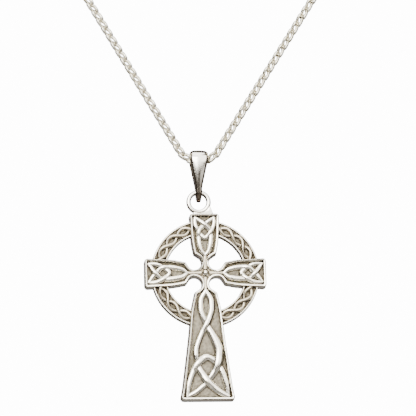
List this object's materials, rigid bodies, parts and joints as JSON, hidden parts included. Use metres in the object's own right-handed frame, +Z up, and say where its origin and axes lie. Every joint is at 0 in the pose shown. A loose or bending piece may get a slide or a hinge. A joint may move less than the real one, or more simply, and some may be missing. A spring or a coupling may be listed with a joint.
{
  "type": "celtic cross pendant necklace",
  "caption": "Cast silver Celtic cross with knotwork panels and a round nimbus, hung by a ring and tapered bail on a curb chain that closes with a clasp behind the neck.",
  "frame": {"origin": "the nape: the middle of the clasp, where the worn chain hangs on the back of the neck", "axes": "+Z is up, the cross faces -Y, and +X is to the right as one looks at the cross's face"},
  "size_m": [0.1128, 0.0966, 0.1707],
  "materials": {
    "cast_silver": "polished on the rims and strands, antiqued in the recesses",
    "polished_silver": "polished",
    "chain_silver": "polished",
    "clasp_silver": "polished"
  },
  "bodies": {
    "chain": {"chain": "chain_silver", "clasp": "clasp_silver"},
    "bail": {"bail": "polished_silver"},
    "cross": {"cross": "cast_silver"}
  },
  "joints": [
    {"name": "bail_swing", "type": "hinge", "parent": "chain", "child": "bail", "pos_m": [0, -0.09323, -0.12062], "axis": [1, 0, 0], "range_deg": [-80, 80]},
    {"name": "cross_swing", "type": "hinge", "parent": "bail", "child": "cross", "pos_m": [0, -0.09323, -0.1291], "axis": [0, 1, 0], "range_deg": [-60, 60]}
  ]
}
